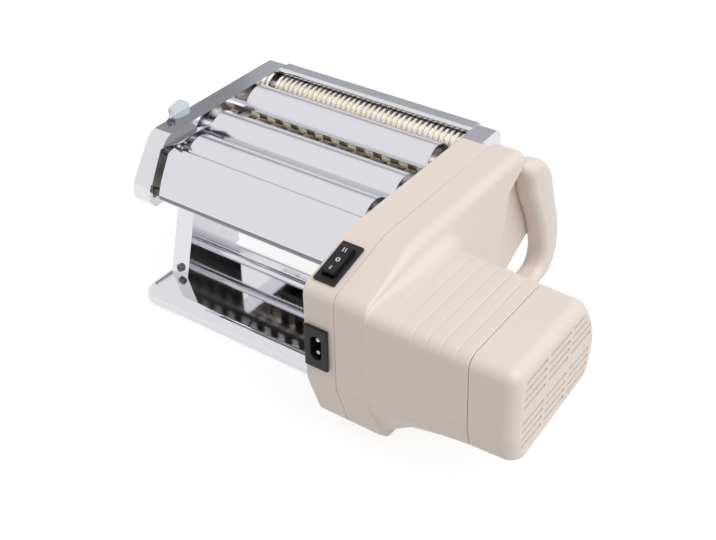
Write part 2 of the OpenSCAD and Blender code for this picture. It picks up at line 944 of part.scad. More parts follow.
// Corner of the tab, on its side a along it and b across it, rounded to r
function tab_corner(a, b, r) =
    concat(tab_mid + turned([a * tab_len / 2, b * tab_t / 2], tab_lean), [r]);

module thickness_lever() {
    color("lightsteelblue") placed() difference() {
        union() {
            bar(lever_axis, lever_hub_r, -lever_in - arm_t - 1, -lever_in);
            translate([0, lever_axis.x, lever_axis.y]) rotate([lever_rest, 0, 0]) {
                translate([-lever_in - arm_t, 0, 0]) rotate([90, 0, 90]) linear_extrude(arm_t)
                    polygon(rounded([
                        [0, -8, 3], tab_corner(1, -1, 1), tab_corner(-1, 1, 1), [0, 8, 3]
                    ]));
                translate([-lever_out, 0, 0]) rotate([90, 0, 90])
                    linear_extrude(lever_out - lever_in)
                        polygon(rounded([
                            tab_corner(-1, -1, 1), tab_corner(1, -1, 2), tab_corner(1, 1, 2),
                            tab_corner(-1, 1, 2)
                        ]));
            }
        }
        bar(lever_axis, crank_key_r, -lever_in - arm_t + 1, -lever_in + 1);
    }
}

module lever_crank() {
    color("gray") placed() {
        bar(lever_axis, crank_hub_r, -lever_in, -left_block_out - 0.4);
        bar(lever_axis, crank_key_r, -lever_in - arm_t + 1, -lever_in + eps);
        bar(lever_axis + polar(crank_e, crank_rest), crank_pin_r, -left_block_out - 0.5,
            -crank_slot_in - 0.3);
    }
}

// ---- Gear train and motor ----

drive_r = 4;

module drive_shaft() {
    color("silver") placed() {
        bar(drive_axis, drive_r, second_plane - 1, mid_plate_x - 0.2);
        bar(drive_axis, drive_end_r, web_in, second_plane - 1 + eps);
        bar(drive_axis, drive_end_r, mid_plate_x - 0.2 - eps, mid_plate_x + plate_t);
    }
}

module drive_gears() {
    color("gray") placed() {
        gear(drive_axis, cutter_teeth, cutter_m, input_phase, second_plane, gears_end, drive_r);
        gear(drive_axis, out_teeth, out_m, out_phase, out_x, out_x + out_w, drive_r);
    }
}

pin_in = pocket_floor + 0.2;

// Compound gear: wheel and pinion turned from one blank, on its own journals
module second_gear() {
    color("ivory") placed() {
        bar(second_axis, axle_r, pin_in, motor_plate_x + plate_t);
        gear(second_axis, slow_pinion, out_m, slow_phase, out_x, out_x + out_w, axle_r - eps);
        ring(second_axis, slow_hub_r, axle_r - eps, out_x + out_w - eps, mid_x + eps);
        gear(second_axis, wheel_teeth, mid_m, mid_phase, mid_x, mid_x + mid_w, axle_r - eps);
        ring(second_axis, fast_hub_r, axle_r - eps, mid_x + mid_w - eps,
            motor_plate_x - gear_gap);
    }
}

module first_gear() {
    color("ivory") placed() {
        bar(first_axis, thin_axle_r, mid_plate_x + 0.1, motor_plate_x + plate_t);
        gear(first_axis, fast_pinion, mid_m, mid_pinion_phase, mid_x, mid_x + mid_w,
            thin_axle_r - eps);
        ring(first_axis, fast_hub_r, thin_axle_r - eps, mid_x + mid_w - eps, fast_x + eps);
        gear(first_axis, wheel_teeth, fast_m, fast_phase, fast_x, fast_x + fast_w,
            thin_axle_r - eps);
    }
}

can_t = 1.6;
core_r = can_r - 9;
core_x = can_x + 10;
core_len = 24;
core_slots = 10;
core_slot_r = 1.6;
winding_r = core_r - 3;
winding_len = 6;
commutator_r = 8;
commutator_len = 8;
fan_x = can_x + can_len + 3;
fan_r = can_r - 5;
fan_hub_r = 7;
fan_len = 8;
shaft_end = fan_x + fan_len;

module motor_shaft() {
    color("silver") placed() {
        bar(motor_axis, motor_shaft_r, fast_x + fast_w, shaft_end);
        gear(motor_axis, fast_pinion, fast_m, motor_phase, fast_x - 0.4, fast_x + fast_w + eps, 1);
        bar(motor_axis, 1 + eps, fast_x - 0.4, fast_x + fast_w + eps);
    }
}

module motor_core() {
    color("gray") placed() difference() {
        bar(motor_axis, core_r, core_x, core_x + core_len);
        bar(motor_axis, motor_shaft_r, core_x - 1, core_x + core_len + 1);
        for (i = [0 : core_slots - 1]) {
            bar(motor_axis + polar(core_r, i * 360 / core_slots), core_slot_r, core_x - 1,
                core_x + core_len + 1);
        }
    }
}

module motor_windings() {
    color("darkorange") placed() {
        front = core_x + core_len;
        ring(motor_axis, winding_r, motor_shaft_r, core_x - winding_len, core_x);
        ring(motor_axis, winding_r, motor_shaft_r, front, front + winding_len);
        ring(motor_axis, commutator_r, motor_shaft_r, front + winding_len,
            front + winding_len + commutator_len);
    }
}

fan_blades = 9;
fan_blade_t = 1.2;

module cooling_fan() {
    color("white") placed() {
        ring(motor_axis, fan_hub_r, motor_shaft_r, fan_x, fan_x + fan_len);
        for (i = [0 : fan_blades - 1]) {
            translate([fan_x, motor_axis.x, motor_axis.y]) rotate([i * 360 / fan_blades, 0, 0])
                translate([0, fan_hub_r - 0.4, -fan_blade_t / 2])
                    cube([fan_len - 1, fan_r - fan_hub_r + 0.4, fan_blade_t]);
        }
    }
}

can_holes = 6;
can_hole_r = 4;

module motor_can() {
    color("silver") placed() difference() {
        bar(motor_axis, can_r, can_x, can_x + can_len);
        bar(motor_axis, can_r - can_t, can_x + can_t, can_x + can_len - can_t);
        bar(motor_axis, motor_shaft_r + run_fit, can_x - 1, can_x + can_len + 1);
        for (i = [0 : can_holes - 1]) {
            bar(motor_axis + polar(core_r, 30 + i * 360 / can_holes), can_hole_r,
                can_x + can_len - can_t - 1, can_x + can_len + 1);
        }
    }
}

magnet_gap = 0.7;

module motor_magnets() {
    color("dimgray") placed() for (a = [45, 225]) {
        translate([core_x, motor_axis.x, motor_axis.y]) rotate([a, 0, 0]) rotate([0, 90, 0])
            rotate([0, 0, 180]) rotate_extrude(angle = 120)
                translate([core_r + magnet_gap, 0])
                    square([can_r - can_t - core_r - magnet_gap, core_len]);
    }
}

holder_t = 2;
holder_hole = 14;
brush = [13, 8];

module brush_holder() {
    color("black") placed() {
        brush_x = core_x + core_len + 8;
        holder_x = can_x + can_len - can_t - holder_t;
        ring(motor_axis, can_r - can_t, holder_hole, holder_x, holder_x + holder_t);
        for (s = [-1, 1]) {
            translate([brush_x, motor_axis.x + s * 15 - brush.x / 2, motor_axis.y - brush.y / 2])
                cube([holder_x - brush_x + eps, brush.x, brush.y]);
        }
    }
}

plate_front = [
    [slab_front + 8.5, head_top - 20, 6], [slab_front + 8.5, head_top - 78, 6],
    [slab_front + 17.5, head_top - 101, 6]
];
mid_plate_corners = concat([[14, head_top - 20, 6]], plate_front, [[14, head_top - 101, 6]]);
motor_plate_corners = concat([[-36, head_top - 20, 6]], plate_front, [[-36, head_top - 101, 6]]);
long_pillars = [
    [slab_front + 15.5, head_top - 28], [slab_front + 17.5, head_top - 91],
    [-42, head_top - 95.5]
];
short_pillar = [8, head_top - 78];
pillar_r = 3;

module gearbox_plates() {
    color("silver") placed() {
        along_x(mid_plate_x, mid_plate_x + plate_t) difference() {
            polygon(rounded(mid_plate_corners));
            translate(drive_axis) circle(r = drive_end_r + run_fit);
            translate(second_axis) circle(r = slow_hub_r + shaft_room);
            translate(first_axis) circle(r = thin_axle_r + run_fit);
        }
        along_x(motor_plate_x, motor_plate_x + plate_t) difference() {
            polygon(rounded(motor_plate_corners));
            translate(second_axis) circle(r = axle_r + run_fit);
            translate(first_axis) circle(r = thin_axle_r + run_fit);
            translate(motor_axis) circle(r = motor_shaft_r + 1.5);
        }
    }
}

module gearbox_pillars() {
    color("silver") placed() {
        for (p = long_pillars) {
            bar(p, pillar_r, pocket_floor + wall, mid_plate_x);
            bar(p, pillar_r, mid_plate_x + plate_t, motor_plate_x);
        }
        bar(short_pillar, pillar_r, pocket_floor + wall, mid_plate_x);
    }
}

board_z = [head_top - 104, head_top - 66];
board_y = [slab_front + 15, slab_front + 40];

module control_board() {
    color("darkgreen") placed() {
        x = shell_in + wall;
        translate([x, board_y[0], board_z[0]]) cube([1.6, board_y[1] - board_y[0],
            board_z[1] - board_z[0]]);
        translate([x + 1.6, board_y[0] + 2, board_z[0] + 16]) cube([9, 10, 12]);
        translate([x + 1.6, board_y[0] + 19, board_z[0] + 31]) rotate([0, 90, 0])
            cylinder(r = 5, h = 11);
        translate([x + 1.6, board_y[0] + 15, board_z[0] + 8]) cube([6, 8, 10]);
    }
}

// ---- Shells of the motor unit ----

// Zone of the head and leg that the inner shell fits round
function pocket(d) = inset(pan_corners, -d);

// Distance of the switch's middle behind the front
switch_back = 20.5;
switch_mid = [slab_front + switch_back, slab_bend + switch_back * tan(slope)];
switch_w = 13.4;
switch_len = 29;
cut_w = 11.8;
switch_x = shell_in + wall + cut_w / 2 + 1.1;
cut_len = 26.4;
inlet_mid = [slab_front, head_top - 48.7];
inlet_w = 15.3;
inlet_h = 27.5;
inlet_body_w = 12.2;
inlet_x = shell_in + wall + inlet_body_w / 2 + 0.1;
inlet_body_h = 24;

module switch_place() {
    translate([switch_x, switch_mid.x, switch_mid.y]) rotate([slope, 0, 0]) children();
}

module motor_inner_shell() {
    color("ivory") placed() difference() {
        along_x(shell_in, seam_x) polygon(rounded(inner_corners));
        // Pocket for the head, open on the left
        along_x(shell_in - 1, pocket_floor) {
            polygon(rounded(pocket(pocket_fit)));
            translate([leg_front - 3, 0]) square([leg_back - leg_front + 6, base_top + 20]);
        }
        // Hollow on the right
        along_x(pocket_floor + wall, seam_x + 1) intersection() {
            polygon(rounded(inset(inner_corners, wall)));
            polygon(rounded(inset(outer_corners, wall)));
        }
        // Hollow in front of the head
        along_x(shell_in + wall, pocket_floor + wall + 1) difference() {
            polygon(rounded(inset(inner_corners, wall)));
            polygon(rounded(pocket(pocket_fit + wall)));
            translate([slope_start - 6, 0]) square([200, 200]);
        }
        bar(drive_axis, drive_r + shaft_room, pocket_floor - 1, pocket_floor + wall + 1);
        bar(second_axis, axle_r + run_fit, pocket_floor - 1, pocket_floor + wall + 1);
        switch_place() translate([-cut_w / 2, -cut_len / 2, -8]) cube([cut_w, cut_len, 16]);
        translate([inlet_x - inlet_body_w / 2, slab_front - 2, inlet_mid.y - inlet_body_h / 2])
            cube([inlet_body_w, 8, inlet_body_h]);
    }
}

// Thin slice of a profile at x, which the hulls below join
module slice(corners, x) {
    along_x(x - slice_t, x) polygon(rounded(corners));
}

slice_t = 0.1;
// Flat housing from x0 to x1, d inside its outline, with its outer edge rounded off
module slab_form(d, x0, x1) {
    hull() {
        along_x(x0, x1 - edge_r) polygon(rounded(inset(outer_corners, d)));
        for (a = [30 : 30 : 90]) {
            slice(inset(outer_corners, d + edge_r * (1 - cos(a))), x1 - edge_r * (1 - sin(a)));
        }
    }
}

module motor_outer_shell() {
    color("ivory") placed() difference() {
        union() {
            slab_form(0, seam_x, face_x);
            hull() {
                slice(barrel_root, face_x - edge_r - 0.5);
                slice(barrel_end, cap_x - 0.3);
            }
        }
        slab_form(wall, seam_x - 1, face_x - wall);
        hull() {
            slice(inset(barrel_root, wall), face_x - wall - 0.5);
            slice(inset(barrel_end, wall), cap_x + 1);
        }
    }
}

vent_rows = 4;
vent_columns = 3;
vent_pitch = 5.5;
vent_h = 2.2;
vent_gap = 3.4;
upper_vents = head_top - 25.3;
lower_vents = head_top - 53;

module motor_end_cap() {
    color("ivory") placed() difference() {
        hull() {
            slice(barrel_end, cap_x + slice_t);
            slice(inset(barrel_end, 0.6), end_x - 8);
            slice(inset(barrel_end, 3), end_x - 3);
            slice(inset(barrel_end, 8), end_x);
        }
        hull() {
            slice(inset(barrel_end, wall), cap_x - 1);
            slice(inset(barrel_end, wall + 1), end_x - 8);
            slice(inset(barrel_end, wall + 8), end_x - wall);
        }
        vents(upper_vents);
        vents(lower_vents);
    }
}

vent_front = slab_front + 12.5;
vent_back = -31;

// Rows of slots from the top row at height z
module vents(z) {
    slot = (vent_back - vent_front - (vent_columns - 1) * vent_gap) / vent_columns;
    for (row = [0 : vent_rows - 1]) {
        for (column = [0 : vent_columns - 1]) {
            translate([end_x - 12, vent_front + column * (slot + vent_gap),
                z - row * vent_pitch - vent_h / 2])
                cube([20, slot, vent_h]);
        }
    }
}

// Handle with a hole and a cove for the fingers; its shelf stops short of the grip's face
module carry_handle() {
    color("ivory") placed() difference() {
        along_x(handle_x, handle_x + handle_w) difference() {
            polygon(rounded(handle_corners));
            polygon(rounded(outer_corners));
            polygon(rounded(handle_hole));
        }
        along_x(handle_x + web_t, handle_x + handle_w + 1) polygon(rounded(handle_cove));
        translate([face_x - shelf_back, 0, head_top - shelf_cut / 2])
            cube([handle_w, shelf_end, shelf_cut]);
    }
}

rocker_w = 7.8;
rocker_len = 21;
frame_h = 2;
rocker_pin_r = 1.4;
rocker_z = 0.4;

module switch_housing() {
    color("black") placed() switch_place() difference() {
        union() {
            translate([-switch_w / 2, -switch_len / 2, 0]) cube([switch_w, switch_len, frame_h]);
            translate([-cut_w / 2 + 0.1, -cut_len / 2 + 0.1, -15])
                cube([cut_w - 0.2, cut_len - 0.2, 15 + eps]);
            for (y = [-8, 0, 8]) {
                translate([-2.4, y - 0.4, -22]) cube([4.8, 0.8, 7 + eps]);
            }
        }
        translate([-rocker_w / 2 - 0.3, -rocker_len / 2 - 0.5, -10.5])
            cube([rocker_w + 0.6, rocker_len + 1, 20]);
        translate([-cut_w / 2 + 0.25, 0, rocker_z]) rotate([0, 90, 0])
            cylinder(r = rocker_pin_r + run_fit, h = cut_w - 0.5);
    }
}

module switch_rocker() {
    color("black") placed() switch_place() {
        translate([-rocker_w / 2, 0, rocker_z]) rotate([90, 0, 90]) linear_extrude(rocker_w)
            polygon(rounded([
                [-rocker_len / 2 + 0.6, -4, 1], [0, -6.5, 6], [rocker_len / 2 - 0.6, -4, 1],
                [rocker_len / 2 - 0.3, 5.2, 1], [0, 3.4, 30], [-rocker_len / 2 + 0.3, 5.2, 1]
            ]));
        translate([-cut_w / 2 + 0.35, 0, rocker_z]) rotate([0, 90, 0])
            cylinder(r = rocker_pin_r, h = cut_w - 0.7);
    }
}

inlet_depth = 22;
pin_pitch = 8.6;
inlet_pin_r = 1.2;
socket_r = 3.6;
socket_depth = 12.5;

module inlet_body() {
    color("black") placed() translate([inlet_x, slab_front, inlet_mid.y]) difference() {
        union() {
            translate([-inlet_w / 2, -bezel_t, -inlet_h / 2]) cube([inlet_w, bezel_t, inlet_h]);
            translate([-inlet_body_w / 2 + 0.1, -eps, -inlet_body_h / 2 + 0.1])
                cube([inlet_body_w - 0.2, inlet_depth, inlet_body_h - 0.2]);
        }
        for (s = [-1, 1]) {
            translate([0, -bezel_t - 1, s * pin_pitch / 2]) rotate([-90, 0, 0])
                cylinder(r = socket_r, h = socket_depth + 1);
        }
        translate([-socket_r, -bezel_t - 1, -pin_pitch / 2])
            cube([2 * socket_r, socket_depth + 1, pin_pitch]);
        for (s = [-1, 1]) {
            translate([0, 0, s * pin_pitch / 2]) rotate([-90, 0, 0])
                cylinder(r = inlet_pin_r, h = inlet_depth + 1);
        }
    }
}

module inlet_pins() {
    color("silver") placed() for (s = [-1, 1]) {
        translate([inlet_x, slab_front + 0.5, inlet_mid.y + s * pin_pitch / 2])
            rotate([-90, 0, 0]) cylinder(r = inlet_pin_r, h = inlet_depth + 3);
    }
}

motor_foot_r = 4.5;
motor_feet_at = [
    [shell_in + 10, step_y - 6], [seam_x + 10.4, step_y - 6], [seam_x + 10.4, base_back - 2]
];

module motor_feet() {
    color("ivory") placed() for (p = motor_feet_at) {
        translate([p.x, p.y, 0]) cylinder(r = motor_foot_r, h = slab_bottom);
    }
}

// Screws that hold the shells together, in the side view
shell_screws = [
    [slab_front + 30.5, head_top - 34], [slab_front + 30.5, head_top - 98],
    [30, head_bottom - 16], [62, head_bottom - 6]
];

module housing_screws() {
    color("gray") placed() for (p = shell_screws) {
        translate([shell_in, p.x, p.y]) rotate([0, -90, 0]) screw_head();
    }
}

base_plate();
base_feet();
left_side_frame();
right_side_frame();
left_outer_cover();
right_gear_cover();
front_panel();
back_rail();
leg_tie();
panel_rods();
roller_guard();
cutter_cover();
bushes();
carrier_guides();
rear_scraper();
fettuccine_combs();
tagliolini_combs();
frame_screws();
front_roller();
front_roller_gear();
rear_roller();
rear_roller_gears();
roller_carriers();
carrier_tie();
front_scraper();
fettuccine_front_cutter();
fettuccine_front_gear();
fettuccine_rear_cutter();
fettuccine_rear_gears();
tagliolini_front_cutter();
tagliolini_front_gears();
tagliolini_rear_cutter();
tagliolini_rear_gear();
thickness_lever();
lever_crank();
drive_shaft();
drive_gears();
second_gear();
first_gear();
motor_shaft();
motor_core();
motor_windings();
cooling_fan();
motor_can();
motor_magnets();
brush_holder();
gearbox_plates();
gearbox_pillars();
control_board();
motor_inner_shell();
motor_outer_shell();
motor_end_cap();
carry_handle();
switch_housing();
switch_rocker();
inlet_body();
inlet_pins();
motor_feet();
housing_screws();
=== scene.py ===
"""Electric pasta maker: materials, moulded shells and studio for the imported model."""
import json
import math

import bmesh
import bpy
import numpy as np
from mathutils import Matrix, Vector


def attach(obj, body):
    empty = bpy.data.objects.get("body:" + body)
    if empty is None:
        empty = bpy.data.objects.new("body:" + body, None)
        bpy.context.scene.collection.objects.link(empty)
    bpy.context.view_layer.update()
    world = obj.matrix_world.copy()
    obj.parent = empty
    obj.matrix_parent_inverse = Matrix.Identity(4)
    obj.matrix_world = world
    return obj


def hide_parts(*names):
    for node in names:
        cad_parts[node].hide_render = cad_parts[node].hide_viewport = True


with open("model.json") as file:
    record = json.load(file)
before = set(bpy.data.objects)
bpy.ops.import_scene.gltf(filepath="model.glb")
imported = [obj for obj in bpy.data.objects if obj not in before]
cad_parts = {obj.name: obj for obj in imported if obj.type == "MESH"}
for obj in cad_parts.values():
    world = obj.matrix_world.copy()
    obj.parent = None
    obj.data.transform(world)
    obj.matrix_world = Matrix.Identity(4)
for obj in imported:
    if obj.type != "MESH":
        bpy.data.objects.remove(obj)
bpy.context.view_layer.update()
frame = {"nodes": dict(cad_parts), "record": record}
nodes = frame["nodes"]
scene = bpy.context.scene
MM = 0.001

# ---- Materials ----

# Grain of the surface: noise scale and depth of the bump in metres
METAL_GRAIN, METAL_DEPTH = 900, 0.000004
PLASTIC_GRAIN, PLASTIC_DEPTH = 2500, 0.00002
GRAIN_DETAIL = 3
# Least and greatest share of the roughness over the grain
METAL_RANGE = (0.75, 1.3)
PLASTIC_RANGE = (0.85, 1.15)
# Faint stains: share of the colour in the darker ones and noise scale
METAL_STAIN = (0.94, 30)
PLASTIC_STAIN = (0.96, 25)
STAIN_DETAIL = 4
EVEN = (1, 1, 1)


def new_material(name, color, roughness, metallic=0.0):
    """A Principled material with its node tree and shader."""
    material = bpy.data.materials.new(name)
    material.use_nodes = True
    shader = material.node_tree.nodes["Principled BSDF"]
    shader.inputs["Base Color"].default_value = (*color, 1)
    shader.inputs["Roughness"].default_value = roughness
    shader.inputs["Metallic"].default_value = metallic
    return material, material.node_tree, shader


def noise(tree, scale, detail, stretch=EVEN):
    """Noise over the object's own coordinates, stretched along an axis."""
    coords = tree.nodes.new("ShaderNodeTexCoord")
    mapping = tree.nodes.new("ShaderNodeMapping")
    mapping.inputs["Scale"].default_value = stretch
    texture = tree.nodes.new("ShaderNodeTexNoise")
    texture.inputs["Scale"].default_value = scale
    texture.inputs["Detail"].default_value = detail
    tree.links.new(coords.outputs["Object"], mapping.inputs["Vector"])
    tree.links.new(mapping.outputs["Vector"], texture.inputs["Vector"])
    return texture.outputs["Fac"]


def spread(tree, value, low, high):
    """Maps a 0 to 1 value to the range from low to high."""
    ramp = tree.nodes.new("ShaderNodeMapRange")
    ramp.inputs["To Min"].default_value = low
    ramp.inputs["To Max"].default_value = high
    tree.links.new(value, ramp.inputs["Value"])
    return ramp.outputs["Result"]


def bump(tree, shader, height, distance):
    """Bumps the surface by a height from 0 to 1."""
    node = tree.nodes.new("ShaderNodeBump")
    node.inputs["Strength"].default_value = 1
    node.inputs["Distance"].default_value = distance
    tree.links.new(height, node.inputs["Height"])
    tree.links.new(node.outputs["Normal"], shader.inputs["Normal"])


def two_tone(tree, shader, value, dark, light):
    """Colour between a dark and a light one, by a value from 0 to 1."""
    mix = tree.nodes.new("ShaderNodeMix")
    mix.data_type = "RGBA"
    mix.inputs["A"].default_value = (*dark, 1)
    mix.inputs["B"].default_value = (*light, 1)
    tree.links.new(value, mix.inputs["Factor"])
    tree.links.new(mix.outputs["Result"], shader.inputs["Base Color"])


def grained(tree, shader, color, rough, rough_range, stain, grain, stretch, depth):
    """Fine grain in the roughness and the bump, and faint stains in the colour."""
    fine = noise(tree, grain, GRAIN_DETAIL, stretch)
    least, most = rough_range
    tree.links.new(spread(tree, fine, rough * least, rough * most), shader.inputs["Roughness"])
    tone, scale = stain
    stains = noise(tree, scale, STAIN_DETAIL)
    two_tone(tree, shader, stains, tuple(c * tone for c in color), color)
    bump(tree, shader, fine, depth)


def metal(name, color, rough, grain=METAL_GRAIN, stretch=EVEN, depth=METAL_DEPTH):
    material, tree, shader = new_material(name, color, rough, 1.0)
    grained(tree, shader, color, rough, METAL_RANGE, METAL_STAIN, grain, stretch, depth)
    return material


def plastic(name, color, rough, gloss=0.5):
    """Moulded plastic; gloss is the strength of its mirror reflection."""
    material, tree, shader = new_material(name, color, rough)
    shader.inputs["Specular IOR Level"].default_value = gloss
    grained(tree, shader, color, rough, PLASTIC_RANGE, PLASTIC_STAIN, PLASTIC_GRAIN, EVEN,
            PLASTIC_DEPTH)
    return material


CHROME = (0.74, 0.735, 0.77)
CHROME_GRAIN = 700
finishes = {
    "chrome": metal("chrome", CHROME, 0.13, CHROME_GRAIN),
    "mirror": metal("mirror_chrome", CHROME, 0.06, CHROME_GRAIN),
    "roller": metal("roller_chrome", CHROME, 0.17, CHROME_GRAIN),
    "brushed": metal("brushed_chrome", CHROME, 0.2, 400, (0.04, 1, 1), 0.000012),
    "zinc": metal("zinc_steel", (0.55, 0.56, 0.57), 0.32),
    "dark_steel": metal("dark_steel", (0.10, 0.10, 0.11), 0.35),
    "cutter": metal("cutter_brass", (0.86, 0.81, 0.74), 0.42),
    # painted shade: dark steel for the sheet on the left frame's wall beside the front panel
    "wall_painted_shade": metal("wall_painted_shade_steel", (0.30, 0.28, 0.26), 0.5),
    # painted shade: dark chrome for the strip over the front panel's lower roll
    "lip_painted_shade": metal("lip_painted_shade_chrome", (0.22, 0.22, 0.235), 0.3, CHROME_GRAIN),
    # painted shade: darker chrome on the roller guard, which lies in shade below the frame's
    # flange
    "guard": metal("shaded_chrome", (0.40, 0.39, 0.42), 0.22, CHROME_GRAIN),
    "dark_screw": metal("dark_screw", (0.16, 0.16, 0.17), 0.4),
    "bronze": metal("bronze", (0.55, 0.38, 0.22), 0.35),
    "black": plastic("black_plastic", (0.011, 0.011, 0.013), 0.35, 0.3),
    "cream": plastic("cream_plastic", (0.79, 0.69, 0.62), 0.42),
    "lever": plastic("lever_plastic", (0.60, 0.66, 0.72), 0.28),
    "white": plastic("white_plastic", (0.8, 0.8, 0.78), 0.4),
    "mark": plastic("mark_white", (0.75, 0.75, 0.75), 0.5),
    "rubber": plastic("rubber", (0.02, 0.02, 0.02), 0.8),
    "copper": metal("copper_wire", (0.75, 0.33, 0.15), 0.3, 1500, (1, 40, 40)),
    "ferrite": plastic("ferrite", (0.05, 0.05, 0.055), 0.6),
    "board": plastic("board_green", (0.01, 0.12, 0.05), 0.3),
}
SLOT_FINISH = {
    "chrome": "chrome", "zinc_steel": "zinc", "dark_steel": "dark_steel",
    "cutter_brass": "cutter", "bronze": "bronze", "black_plastic": "black",
    "cream_plastic": "cream", "lever_plastic": "lever", "white_plastic": "white",
    "rubber": "rubber", "copper": "copper", "ferrite": "ferrite", "board_green": "board",
}
# Pieces whose finish differs from their slot's
NODE_FINISH = {
    "front_roller": "roller", "rear_roller": "roller", "cutter_cover": "brushed",
    "base_plate": "mirror", "frame_screws": "dark_screw", "housing_screws": "dark_screw",
    # panel_rods take dark steel as painted shade: they lie in the shaded strip between the left
    # frame and the panel
    "panel_rods": "dark_steel", "roller_guard": "guard",
}

for part in frame["record"]["subparts"]:
    name = part["node"]
    finish = NODE_FINISH.get(name, SLOT_FINISH[part["material_slot"]])
    mesh = nodes[name].data
    mesh.materials.clear()
    mesh.materials.append(finishes[finish])

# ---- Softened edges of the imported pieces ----

# Width of the rounded edge, in mm
EDGE_ROUNDS = {
    "motor_inner_shell": 0.7, "left_side_frame": 0.5, "right_side_frame": 0.5,
    "left_outer_cover": 0.45, "right_gear_cover": 0.45, "front_panel": 0.3, "back_rail": 0.3,
    "switch_housing": 0.5, "switch_rocker": 0.5, "inlet_body": 0.5, "roller_guard": 0.25,
    "thickness_lever": 1.1, "cutter_cover": 0.2, "leg_tie": 0.4, "base_feet": 0.6,
    "motor_feet": 0.6, "base_plate": 0.2, "frame_screws": 0.15, "carrier_guides": 0.3,
}
# Least angle in degrees between two faces for their edge to be rounded
PACKED_ANGLE = 32
PACKED_SEGMENTS = 2
WELD_DISTANCE = 0.005
FLAT_WEIGHT = 80


def even_normals(piece):
    """Flat faces stay flat and the rounded edges between them blend."""
    weighted = piece.modifiers.new("normals", "WEIGHTED_NORMAL")
    weighted.weight = FLAT_WEIGHT
    weighted.keep_sharp = True


def round_edges(piece, width, segments, angle):
    bevel = piece.modifiers.new("bevel", "BEVEL")
    bevel.width = width * MM
    bevel.segments = segments
    bevel.limit_method = "ANGLE"
    bevel.angle_limit = math.radians(angle)


for name, width in EDGE_ROUNDS.items():
    piece = nodes[name]
    normals = piece.data.attributes.get("custom_normal")
    if normals:
        piece.data.attributes.remove(normals)
    piece.data.shade_smooth()
    weld = piece.modifiers.new("weld", "WELD")
    weld.merge_threshold = WELD_DISTANCE * MM
    round_edges(piece, width, PACKED_SEGMENTS, PACKED_ANGLE)
    even_normals(piece)

# ---- Outlines of the moulded shells ----

# Places in the machine's own millimetres: X from the middle of the rollers, Y from the
# line between the rollers and the cutters, Z from the table
X_MID, Y_MID = 54.4, -6.692
HEAD_TOP = 125
# The housing cover begins at the seam and its flat face is at FACE_X; the barrel ends
# where the end cover begins
SEAM_X, FACE_X, CAP_X, END_X = 97.6, 118.1, 179.1, 206.1
WALL = 2.4
# Y and Z of the point inside every outline from which the rays go out
CENTRE = Vector((-60, 62))
TURNS = 360
CORNER_STEPS = 10
LEAST_RADIUS = 0.6

# Corners of the outlines in the side view: Y, Z and the corner's radius
# The slab's upper back corner reaches out as a horn, behind which the grip begins
SLAB = [(58, 127, 13), (-70, 127, 20), (-118.5, 114, 8), (-117.5, 50, 20), (-106, 18, 14),
        (-95, 7, 6), (25, 7, 10), (42.2, 113, 5), (60, 116, 2)]
ROOT = [(-34, 113, 20), (-118.3, 113, 7), (-117.4, 50, 20), (-105.8, 18, 14), (-95, 8, 8),
        (-24, 12, 26), (-12, 67, 40)]
END = [(-38, 111, 20), (-117.5, 111, 7.5), (-114.8, 63, 20), (-111, 47, 12), (-101, 39.5, 10),
       (-23, 46, 16), (-17, 77, 40)]


def at(x, y, z):
    """A point of the machine in the row frame."""
    return Vector((x - X_MID, y - Y_MID, z)) * MM


def rounded(corners, steps=CORNER_STEPS):
    """Closed outline through rounded corners."""
    outline = []
    count = len(corners)
    for i, (y, z, radius) in enumerate(corners):
        b = Vector((y, z))
        u = (Vector(corners[i - 1][:2]) - b).normalized()
        v = (Vector(corners[(i + 1) % count][:2]) - b).normalized()
        if radius == 0:
            outline.append(b)
            continue
        half = u.angle(v) / 2
        centre = b + (u + v).normalized() * radius / math.sin(half)
        start = b + u * radius / math.tan(half) - centre
        turn = (math.pi - 2 * half) * (1 if u.cross(v) < 0 else -1)
        for k in range(steps + 1):
            outline.append(centre + Matrix.Rotation(turn * k / steps, 2) @ start)
    return outline


def inset(corners, d):
    """Corners moved inwards by d; they run anticlockwise."""
    moved = []
    count = len(corners)
    for i, (y, z, radius) in enumerate(corners):
        b = Vector((y, z))
        u = (b - Vector(corners[i - 1][:2])).normalized()
        w = (Vector(corners[(i + 1) % count][:2]) - b).normalized()
        n1, n2 = Vector((-u.y, u.x)), Vector((-w.y, w.x))
        p = b + d * (n1 + n2) / (1 + n1.dot(n2))
        moved.append((p.x, p.y, max(radius - d, LEAST_RADIUS)))
    return moved


angles = np.linspace(0, 2 * math.pi, TURNS, endpoint=False)
rays = np.stack([np.cos(angles), np.sin(angles)], 1)
PARALLEL = 1e-9
END_SLACK = 1e-6


def radii(corners):
    """Distance from CENTRE to the outline along each ray."""
    outline = np.array([p - CENTRE for p in rounded(corners)])
    side = np.roll(outline, -1, 0) - outline
    found = []
    for ray in rays:
        bottom = ray[0] * side[:, 1] - ray[1] * side[:, 0]
        bottom[abs(bottom) < PARALLEL] = PARALLEL
        reach = (outline[:, 0] * side[:, 1] - outline[:, 1] * side[:, 0]) / bottom
        share = (outline[:, 0] * ray[1] - outline[:, 1] * ray[0]) / bottom
        inside = (share >= -END_SLACK) & (share <= 1 + END_SLACK) & (reach > 0)
        found.append(reach[inside].max())
    return np.array(found)


def smooth(value, low, high):
    """Goes softly from 0 at low to 1 at high."""
    t = np.clip((value - low) / (high - low), 0, 1)
    return t * t * (3 - 2 * t)


# ---- Pieces made here ----

JOIN_DISTANCE = 0.002
SHARP_ANGLE = 38


def piece_from(name, mesh, finish, body="frame"):
    """A new piece that rides a body and takes a finish."""
    mesh.materials.append(finishes[finish])
    piece = bpy.data.objects.new(name, mesh)
    bpy.context.collection.objects.link(piece)
    mesh.shade_smooth()
    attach(piece, body)
    return piece


